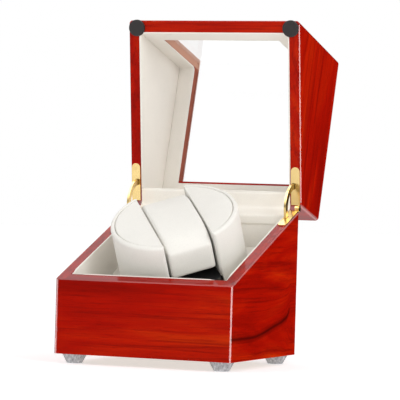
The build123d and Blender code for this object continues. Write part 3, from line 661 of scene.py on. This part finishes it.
lid_turn = Matrix.Rotation(-open_angle, 3, "X")
to_open = Matrix.Translation(lid_pivot) @ lid_turn.to_4x4() @ Matrix.Translation(-lid_pivot)
to_shut = to_open.inverted()


def shut_box(node_name):
    """Lowest and highest corner of a lid node when the lid is shut."""
    points = [to_shut @ v.co for v in frame["nodes"][node_name].data.vertices]
    low = Vector(min(point[k] for point in points) for k in range(3))
    high = Vector(max(point[k] for point in points) for k in range(3))
    return low, high


def under_bumper(point):
    """Whether a point of the base's rim lies under or just beside a bumper of the shut lid."""
    for side_name in sides:
        low, high = shut_box("bumper_" + side_name)
        middle = (low + high) / 2
        if (point - middle).length < (high.x - low.x) / 2 + panel_grid:
            return True
    return False


base_rear_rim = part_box("base_case")[1]
lid_front_rim = shut_box("lid_case")[0]
rim_planes = {
    "base": (Vector((0, base_rear_rim.y, base_rear_rim.z)), rim_up),
    "lid": (to_open @ Vector((0, lid_front_rim.y, lid_front_rim.z)), -(lid_turn @ rim_up)),
}


def spaced(start, end, step):
    """Evenly spaced values from start to end, both included."""
    count = max(1, round(abs(end - start) / step))
    return [start + (end - start) * k / count for k in range(count + 1)]


def lid_roof_lining():
    """The lid's front and top lining: one piece, folded softly at the corner, framing the window."""
    front = shut_box("lid_lining_front")
    top = shut_box("lid_lining_top")
    window = shut_box("lid_window")
    face_y = front[1].y
    face_z = top[0].z
    path = []
    heights = spaced(front[0].z - lining_raise, window[0].z, border_step)
    heights += spaced(window[0].z, face_z - lining_fold, field_step)[1:]
    for z in heights:
        path.append((Vector((0, face_y, z)), z >= window[0].z))
    fold_centre = Vector((0, face_y + lining_fold, face_z - lining_fold))
    for step in range(1, fold_steps + 1):
        turn = pi - pi / 2 * step / fold_steps
        path.append((fold_centre + lining_fold * Vector((0, cos(turn), sin(turn))), True))
    rear = window[1].y + window_reveal
    for y in spaced(face_y + lining_fold, rear, field_step)[1:]:
        path.append((Vector((0, y, face_z)), y < rear - same_place))
    for y in spaced(rear, top[1].y, border_step)[1:]:
        path.append((Vector((0, y, face_z)), False))
    side = window[1].x
    edge = top[1].x
    columns = spaced(-edge, -side, side_step)
    columns += spaced(-side, side, field_step)[1:]
    columns += spaced(side, edge, side_step)[1:]
    bm = bmesh.new()
    grid = []
    for point, _ in path:
        row = []
        for x in columns:
            spot = Vector((x, point.y, point.z))
            row.append(bm.verts.new(to_open @ spot))
        grid.append(row)
    for i in range(len(path) - 1):
        for k in range(len(columns) - 1):
            middle = (columns[k] + columns[k + 1]) / 2
            if path[i][1] and abs(middle) < side:
                continue
            bm.faces.new((grid[i][k], grid[i + 1][k], grid[i + 1][k + 1], grid[i][k + 1]))
    loose = [v for v in bm.verts if not v.link_faces]
    bmesh.ops.delete(bm, geom=loose, context="VERTS")
    bm.normal_update()
    inward = to_open.to_3x3() @ Vector((0, 0, -1))
    last = bm.faces[:][-1]
    if last.normal.dot(inward) < 0:
        bmesh.ops.reverse_faces(bm, faces=bm.faces)
    thickness = top[1].z - top[0].z
    covered_board("lid_roof_cloth", bm, thickness, "lid", ["lid_lining_front", "lid_lining_top"])


lining_panel("base_lining_left", (1, 0, 0), "base")
lining_panel("base_lining_right", (-1, 0, 0), "base")
lining_panel("base_lining_front", (0, 1, 0), "base")
lining_panel("base_lining_rear", (0, -1, 0), "base")
lining_panel("deck_cover", drum_axis, "base")
lining_panel("lid_lining_left", (1, 0, 0), "lid")
lining_panel("lid_lining_right", (-1, 0, 0), "lid")
lining_panel("lid_lining_rear", lid_turn @ Vector((0, -1, 0)), "lid")
lid_roof_lining()


# Drum cheeks: a leather band rolled over the rim, and a padded panel that folds down into the slot

band_steps = 64
turn_steps = 8
roll_steps = 6
band_corner = 1.8 * MM
band_straight = 2 * MM
roll_limit = 0.7
ledge_drop = 0.4 * MM
ledge_height = 3 * MM
seam_end_gap = 0.6 * MM
slot_floor_gap = 0.2 * MM
hidden_share = 0.75
# The band's dip at the seam: (share of its width, height)
seam_dip = [(0.78, 0.03 * MM), (0.88, -0.3 * MM), (0.95, -1.0 * MM), (1.0, -1.6 * MM)]

ripple_wave = (66, 66, 60)
ripple_start = 4 * MM
ripple_end_share = 0.9
ripple_rest = 0.06 * MM
ripple_height = 0.10 * MM

panel_corner = 0.9 * MM
panel_gap = 0.15 * MM
panel_back_gap = 0.2 * MM
edge_steps = 56
corner_steps = 7
wall_steps = 24
cheek_middle = Vector((31 * MM, 0))
cheek_roll = 0.8 * MM
cheek_crown = 0.315 * MM
crown_power = 2.6
cheek_edge = -0.35 * MM
cheek_swell = 0.22 * MM
cheek_rings = (0.2, 0.4, 0.6, 0.75, 0.87, 0.95)


def circle_point(radius, angle):
    return Vector((radius * cos(angle), radius * sin(angle)))


def band_sections():
    """Places round one cheek in plan: a point on the outer face and the seam point it faces."""
    corner_radius = drum_radius - band_corner
    corner_angle = acos((half_slot + band_corner) / corner_radius)
    seam_radius = drum_radius - seam_inset
    seam_angle = acos(half_slot / seam_radius)
    half = []
    for step in range(band_steps // 2 + 1):
        angle = corner_angle * step / (band_steps // 2)
        half.append((circle_point(drum_radius, angle), circle_point(seam_radius, angle)))
    centre = circle_point(corner_radius, corner_angle)
    for step in range(1, turn_steps + 1):
        share = step / turn_steps
        turn = corner_angle + (pi - corner_angle) * share
        seam = circle_point(seam_radius, corner_angle + (seam_angle - corner_angle) * share)
        half.append((centre + circle_point(band_corner, turn), seam))
    seam_end = circle_point(seam_radius, seam_angle)
    last_y = seam_end.y + seam_end_gap
    for share in (0.5, 1.0):
        half.append((Vector((half_slot, centre.y + (last_y - centre.y) * share)), seam_end))
    mirrored = [(Vector((a.x, -a.y)), Vector((b.x, -b.y))) for a, b in half[:0:-1]]
    return mirrored + half


def band_profile(width, inner, bottom):
    """Closed outline of the band in (distance from the outer face, height)."""
    roll = min(band_roll, roll_limit * width)
    top = -roll - band_straight
    ledge = -panel_thickness - ledge_drop
    points = [(0, top + (bottom - top) * share) for share in (1, 0.75, 0.5, 0.25, 0)]
    for step in range(roll_steps + 1):
        turn = pi / 2 * step / roll_steps
        points.append((roll - roll * cos(turn), -roll + roll * sin(turn)))
    points += [(width * share, height) for share, height in seam_dip]
    points.append((width, -panel_thickness))
    points += [(inner, height) for height in (ledge, ledge - ledge_height, bottom)]
    return points


def drum_band(side_name, side):
    """Leather band round one cheek, folded round both corners into the slot."""
    verts = []
    sections = band_sections()
    for outer, seam in sections:
        width = (seam - outer).length
        inward = (seam - outer) / width
        folded = outer.x < half_slot + wall_lining
        bottom = slot_floor_gap - slot_depth if folded else -drum_depth
        inner = width * hidden_share if folded else shell_wall
        for depth, height in band_profile(width, inner, bottom):
            point = outer + inward * depth
            if bottom * ripple_end_share < height < -ripple_start and depth == 0:
                wave = Vector((outer.x, outer.y, height)) * Vector(ripple_wave)
                ripple = noise.noise(wave + Vector((0, 0, side)))
                point += inward * (ripple_rest - ripple_height * ripple)
            verts.append(drum_frame @ Vector((side * point.x, side * point.y, height)))
    rows = len(sections)
    columns = len(verts) // rows
    faces = strip_faces(rows, columns, close_columns=True)
    faces.append(tuple(range(columns - 1, -1, -1)))
    faces.append(tuple(range((rows - 1) * columns, rows * columns)))
    made = new_object(f"cheek_band_{side_name}", verts, faces, leather_drum, "drum")
    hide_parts(f"cheek_shell_{side_name}")


def cheek_loop():
    """The padded panel's edge seen from above: places, outward directions and wall shares."""
    points = []
    edge_radius = drum_radius - seam_inset - panel_gap
    corner_radius = edge_radius - panel_corner
    corner_angle = acos((half_slot + panel_corner) / corner_radius)
    for step in range(edge_steps + 1):
        angle = corner_angle * (2 * step / edge_steps - 1)
        points.append((circle_point(edge_radius, angle), circle_point(1, angle), 0.0))
    for sign in (1, -1):
        centre = Vector((half_slot + panel_corner, sign * corner_radius * sin(corner_angle)))
        corner_points = []
        for step in range(1, corner_steps + 1):
            share = step / corner_steps
            turn = corner_angle + (pi - corner_angle) * share
            out = Vector((cos(turn), sign * sin(turn)))
            corner_points.append((centre + panel_corner * out, out, share))
        points += corner_points if sign == 1 else corner_points[::-1]
        if sign == 1:
            top = centre.y
            for step in range(1, wall_steps):
                place = Vector((half_slot, top - 2 * top * step / wall_steps))
                points.append((place, Vector((-1, 0)), 1.0))
    return points


def cheek_panel(side_name, side):
    """Padded leather panel of one cheek: a crowned top and the lining of the slot's wall."""
    loop = cheek_loop()
    shoulder = cheek_edge - cheek_roll
    verts = []
    for place, out, drop in loop:
        rim = place - out * cheek_roll
        column = []
        for share in cheek_rings:
            point = cheek_middle + (rim - cheek_middle) * share
            column.append((point, cheek_edge + cheek_crown * (1 - share**crown_power)))
        for step in range(roll_steps):
            turn = pi / 2 * (1 - step / (roll_steps - 1))
            column.append((rim + out * cheek_roll * cos(turn), shoulder + cheek_roll * sin(turn)))
        lowest = -panel_thickness * (1 - drop) - (slot_depth - slot_floor_gap) * drop
        for step in range(1, roll_steps + 1):
            share = step / roll_steps
            swelling = cheek_swell * drop * sin(pi * share)
            height = shoulder + (lowest - shoulder) * share
            column.append((place + out * (swelling - panel_gap * drop), height))
        inward = place - out * (wall_lining - panel_back_gap)
        column.append((inward, lowest))
        column.append((inward, -panel_thickness))
        column.append((cheek_middle + (inward - cheek_middle) * 0.5, -panel_thickness))
        for point, height in column:
            verts.append(drum_frame @ Vector((side * point.x, side * point.y, height)))
    rows = len(loop)
    columns = len(verts) // rows
    faces = strip_faces(rows, columns, close_rows=True)
    top = len(verts)
    for height in (cheek_edge + cheek_crown, -panel_thickness):
        verts.append(drum_frame @ Vector((side * cheek_middle.x, 0, height)))
    for row in range(rows):
        following = (row + 1) % rows
        faces.append((row * columns, following * columns, top))
        faces.append((row * columns + columns - 1, following * columns + columns - 1, top + 1))
    made = new_object(f"cheek_panel_{side_name}", verts, faces, leather_drum, "drum")
    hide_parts(f"cheek_pad_{side_name}")


for side_name, side in sides.items():
    drum_band(side_name, side)
    cheek_panel(side_name, side)


# Cushion: a stuffed leather block swollen by simulation and kept inside the slot

cushion_play = 0.15 * MM
cushion_half_width = half_slot - cushion_play
cushion_half_length = 41 * MM
cushion_low = -28.5 * MM
cushion_crown = 2.8 * MM
end_drop = 8 * MM
end_round = 1.0 * MM
# How much smaller the block is before it swells
start_side = 1.2 * MM
start_end = 1.5 * MM
start_low = 1 * MM
start_height = 2.5 * MM
cushion_cuts = 15
cushion_bevel = 2.2 * MM
cushion_voxel = 1.3 * MM


def cushion_limits(along):
    """Half width, lowest and highest level of the cushion at a place along the slot."""
    share = min(1.0, abs(along) / cushion_half_length)
    draw = end_round * share**16
    return (
        cushion_half_width - draw,
        cushion_low + draw,
        cushion_crown * (1 - share**2) - end_drop * share**4,
    )


def cushion():
    """The watch cushion, resting in the slot."""
    bm = bmesh.new()
    bmesh.ops.create_cube(bm, size=1)
    bmesh.ops.subdivide_edges(bm, edges=bm.edges, cuts=cushion_cuts, use_grid_fill=True)
    for v in bm.verts:
        along = v.co.y * 2 * (cushion_half_length - start_end)
        half, low, high = cushion_limits(along)
        height = low + start_low + (v.co.z + 0.5) * (high - low - start_height)
        v.co = Vector((v.co.x * 2 * (half - start_side), along, height))
    mesh = bpy.data.meshes.new("cushion_pad")
    bm.to_mesh(mesh)
    bm.free()
    made = bpy.data.objects.new("cushion_pad", mesh)
    bpy.context.scene.collection.objects.link(made)
    rounding = made.modifiers.new("round", "BEVEL")
    rounding.width = cushion_bevel
    rounding.segments = 3
    rounding.limit_method = "ANGLE"
    remesh = made.modifiers.new("remesh", "REMESH")
    remesh.mode = "VOXEL"
    remesh.voxel_size = cushion_voxel
    start = applied_mesh(made)
    made.modifiers.clear()
    made.data = start
    swell(made, pressure=4.0, frames=16)
    bm = bmesh.new()
    bm.from_mesh(made.data)
    for v in bm.verts:
        half, low, high = cushion_limits(v.co.y)
        v.co.x = max(-half, min(half, v.co.x))
        v.co.y = max(-cushion_half_length, min(cushion_half_length, v.co.y))
        v.co.z = max(low, min(high, v.co.z))
    for _ in range(2):
        bmesh.ops.smooth_vert(
            bm, verts=bm.verts, factor=0.5, use_axis_x=True, use_axis_y=True, use_axis_z=True
        )
    bm.transform(drum_frame)
    bm.to_mesh(made.data)
    bm.free()
    finish_object(made, leather_drum, "cushion")
    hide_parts("watch_cushion")


def swell(made, pressure, frames):
    """Inflates a mesh as stuffed cloth, without gravity."""
    scene = bpy.context.scene
    cloth = made.modifiers.new("cloth", "CLOTH")
    cloth.settings.use_pressure = True
    cloth.settings.uniform_pressure_force = pressure
    cloth.settings.quality = 6
    cloth.settings.mass = 0.2
    cloth.settings.tension_stiffness = 25
    cloth.settings.compression_stiffness = 25
    cloth.settings.shear_stiffness = 10
    cloth.settings.bending_stiffness = 1.5
    cloth.settings.effector_weights.gravity = 0
    cloth.point_cache.frame_start = 1
    cloth.point_cache.frame_end = frames
    for step in range(1, frames + 1):
        scene.frame_set(step)
    settled = applied_mesh(made)
    made.modifiers.clear()
    made.data = settled
    scene.frame_set(1)


cushion()


# Flap: one strip of leather over both rear rims, bending across the hinge line

flap_thickness = 0.7 * MM
flap_clear = 0.03 * MM
flap_fold = 1.2 * MM
flap_tuck = 5 * MM
flap_handle = 2.4 * MM
flap_wave = 0.12 * MM
flap_wave_scale = 55
flap_row_shift = 0.3
flap_wave_place = 3.1
flap_step = 2.4 * MM
flap_side_gap = 0.25 * MM
flap_end_gap = 1.2 * MM
flap_end_step = 1.2 * MM
flap_fold_steps = 6
bend_steps = 9
rim_shares = (0.0, 0.25, 0.5, 0.75)


def turned_up(direction):
    """A direction in the YZ plane, turned a quarter towards the visible side of the flap."""
    return Vector((0, -direction.z, direction.y))


def in_section(point):
    """A point's place in the YZ plane."""
    return Vector((0, point.y, point.z))


def folded_end(inner, outward, lining_y):
    """Points round a case's inner arris, from the rim to the lining, with their outward directions."""
    sign = 1 if outward.z > 0 else -1
    centre_y = lining_y + flap_fold
    drop = -flap_fold - (centre_y - inner.y) * outward.y
    centre = Vector((0, centre_y, inner.z + drop / outward.z))
    start = atan2(outward.z, outward.y)
    points = []
    for step in range(flap_fold_steps + 1):
        turn = start + (sign * pi - start) * step / flap_fold_steps
        out = Vector((0, cos(turn), sin(turn)))
        points.append((centre + out * flap_fold, out))
    for height in spaced(0, flap_tuck, flap_end_step)[1:]:
        points.append((Vector((0, lining_y, centre.z - sign * height)), Vector((0, -1, 0))))
    return points


def flap():
    """The rear flap: leather glued over both rear rims, shaped bent between them for the open lid."""
    base_points = [v.co for v in frame["nodes"]["flap_base"].data.vertices]
    lid_points = [to_shut @ v.co for v in frame["nodes"]["flap_lid"].data.vertices]
    inner = in_section(min(base_points, key=lambda point: point.z))
    outer = in_section(max(base_points, key=lambda point: point.y))
    lid_inner = in_section(min(lid_points, key=lambda point: point.y))
    lid_outer = in_section(max(lid_points, key=lambda point: point.z))
    rim_out = turned_up((outer - inner).normalized())
    base_end = folded_end(inner, rim_out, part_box("base_lining_rear")[0].y)
    lid_end = folded_end(lid_inner, -rim_out, shut_box("lid_lining_rear")[0].y)
    path = base_end[::-1]
    start = base_end[0][0]
    path += [(start.lerp(outer, share), rim_out) for share in (*rim_shares[1:], 1.0)]
    far = to_open @ lid_outer
    leave = (outer - inner).normalized() * flap_handle
    arrive = (to_open @ lid_inner - far).normalized() * flap_handle
    for step in range(1, bend_steps):
        share = step / bend_steps
        rest = 1 - share
        point = (
            outer * rest**3
            + (outer + leave) * 3 * rest**2 * share
            + (far - arrive) * 3 * rest * share**2
            + far * share**3
        )
        run = (
            leave * 3 * rest**2
            + (far - arrive - outer - leave) * 6 * rest * share
            + arrive * 3 * share**2
        )
        path.append((point, turned_up(run.normalized())))
    lid_start = lid_end[0][0]
    lid_part = [(lid_outer.lerp(lid_start, share), -rim_out) for share in rim_shares]
    path += [(to_open @ point, lid_turn @ out) for point, out in lid_part + lid_end]
    tucked = len(base_end) - len(rim_shares)
    bm = bmesh.new()
    grid = []
    for index, (point, out) in enumerate(path):
        on_rim = tucked <= index < len(path) - tucked
        half = inner_x - (flap_side_gap if on_rim else flap_end_gap)
        row = []
        for x in spaced(-half, half, flap_step):
            place = Vector((x * flap_wave_scale, index * flap_row_shift, flap_wave_place))
            raised = flap_thickness + flap_clear + flap_wave * noise.noise(place)
            spot = Vector((x, point.y, point.z)) + out * raised
            row.append(bm.verts.new(spot))
        grid.append(row)
    for above, below in zip(grid, grid[1:]):
        for k in range(min(len(above), len(below)) - 1):
            bm.faces.new((above[k], above[k + 1], below[k + 1], below[k]))
    bm.normal_update()
    if bm.faces[:][0].normal.y > 0:
        bmesh.ops.reverse_faces(bm, faces=bm.faces)
    made = covered_board("rear_flap", bm, flap_thickness, None, ["flap_base", "flap_lid"])
    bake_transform(made)


flap()


# Stage, light and camera

floor_reach = 5.0
floor_gap = 0.2 * MM
floor_tone = 0.62
floor_glow = 0.55
object_middle = (0, 0.02, 0.11)
strip_target = (0, 0, 0.12)


def stage():
    """A wide flat pale floor."""
    disc = bmesh.new()
    bmesh.ops.create_circle(disc, cap_ends=True, segments=64, radius=floor_reach)
    mesh = bpy.data.meshes.new("floor")
    disc.to_mesh(mesh)
    disc.free()
    floor = bpy.data.objects.new("floor", mesh)
    floor.location.z = -floor_gap
    bpy.context.scene.collection.objects.link(floor)
    made, _, shader = material("pale_floor")
    shader.inputs["Base Color"].default_value = (floor_tone, floor_tone, floor_tone, 1)
    shader.inputs["Roughness"].default_value = 0.9
    shader.inputs["Specular IOR Level"].default_value = 0.1
    shader.inputs["Emission Color"].default_value = (1, 1, 1, 1)
    shader.inputs["Emission Strength"].default_value = floor_glow
    floor.data.materials.append(made)
    floor.visible_glossy = False


def soft_light(name, place, target, size, power):
    """A rectangular soft light that looks at a target."""
    lamp = bpy.data.lights.new(name, "AREA")
    lamp.shape = "RECTANGLE"
    lamp.size, lamp.size_y = size
    lamp.energy = power
    made = bpy.data.objects.new(name, lamp)
    bpy.context.scene.collection.objects.link(made)
    made.location = place
    made.rotation_euler = (Vector(target) - Vector(place)).to_track_quat("-Z", "Y").to_euler()
    return made


# Lights as (name, place, size, power); the strips are those that only one finish reflects
studio_lights = [
    ("key", (-0.9, -1.3, 1.2), (0.9, 0.9), 3.2),
    ("fill", (1.4, -0.7, 0.8), (0.7, 1.1), 10.5),
]
strips = {
    "lacquer": [
        ("left", (-1.25, -0.85, -0.04), (1.4, 0.5), 36),
        ("right", (1.3, -0.75, -0.04), (1.4, 0.5), 28),
    ],
    "gilt": [
        ("left", (-1.25, -0.85, 0.03), (0.9, 0.5), 10),
        ("right", (1.3, -0.75, 0.03), (0.9, 0.5), 10),
        ("front", (-0.62, -1.35, -0.15), (1.1, 0.8), 1.9),
    ],
}


def highlight_strips(slot_name, lamps):
    """Soft lights that only show as streaks on the gloss edges of one finish."""
    lit = bpy.data.collections.new("lit_" + slot_name)
    for part in frame["record"]["subparts"]:
        if part["material_slot"] == slot_name:
            lit.objects.link(frame["nodes"][part["node"]])
    for name, place, size, power in lamps:
        lamp = soft_light(f"strip_{slot_name}_{name}", place, strip_target, size, power)
        lamp.visible_diffuse = False
        lamp.light_linking.receiver_collection = lit


# Light from all round on rough surfaces, and what gloss reflects in front, behind and overhead
horizon_light = 1.04
zenith_light = 0.64
mirrored_front = 0.3
mirrored_rear = 0.02
mirrored_above = 2.8
front_to_rear = (-0.5, 0.3)
level_to_steep = (0.25, 0.75)
horizon_to_zenith = (0.1, 0.9)


def studio_world():
    """White behind the object; gloss reflects white overhead and below, and shade at eye level."""
    world = bpy.data.worlds.new("studio")
    world.use_nodes = True
    tree = world.node_tree
    background = tree.nodes["Background"]
    rays = add_node(tree, "ShaderNodeLightPath").outputs
    direction = add_node(tree, "ShaderNodeTexCoord").outputs["Generated"]
    axes = separate(tree, direction)
    level = map_range(tree, axes["Y"], *front_to_rear, mirrored_front, mirrored_rear)
    above = map_range(tree, absolute(tree, axes["Z"]), *level_to_steep, 0.0, mirrored_above)
    ambient = map_range(tree, axes["Z"], *horizon_to_zenith, horizon_light, zenith_light)
    mirrored = maths(tree, "ADD", level, above)
    change = maths(tree, "SUBTRACT", mirrored, ambient)
    reflected = maths(tree, "MULTIPLY", rays["Is Glossy Ray"], change)
    shaded = maths(tree, "ADD", reflected, ambient)
    seen = maths(tree, "MAXIMUM", rays["Is Camera Ray"], rays["Is Transmission Ray"])
    lit = maths(tree, "MULTIPLY", maths(tree, "SUBTRACT", 1.0, shaded), seen)
    tree.links.new(maths(tree, "ADD", shaded, lit), background.inputs["Strength"])
    background.inputs["Color"].default_value = (1, 1, 1, 1)
    bpy.context.scene.world = world


stage()
for name, place, size, power in studio_lights:
    soft_light(name, place, object_middle, size, power).visible_glossy = False
for slot_name, lamps in strips.items():
    highlight_strips(slot_name, lamps)
studio_world()
bpy.context.scene.view_settings.view_transform = "Standard"

# The photograph's camera: its place and axes, and its focal length in pixels of the image
camera_place = Vector((0.7601, -1.7742, 0.1290))
camera_right = Vector((0.92149068, 0.38738018, 0.02813388))
camera_up = Vector((-0.02884322, -0.00398368, 0.99957601))
camera_axes = Matrix((camera_right, camera_up, camera_right.cross(camera_up))).transposed()
focal_pixels = 2761.7
image_pixels = 400
sensor_width = 36

camera_data = bpy.data.cameras.new("camera")
camera_data.sensor_width = sensor_width
camera_data.lens = sensor_width * focal_pixels / image_pixels
camera = bpy.data.objects.new("camera", camera_data)
bpy.context.scene.collection.objects.link(camera)
camera.matrix_world = Matrix.Translation(camera_place) @ camera_axes.to_4x4()
bpy.context.scene.camera = camera
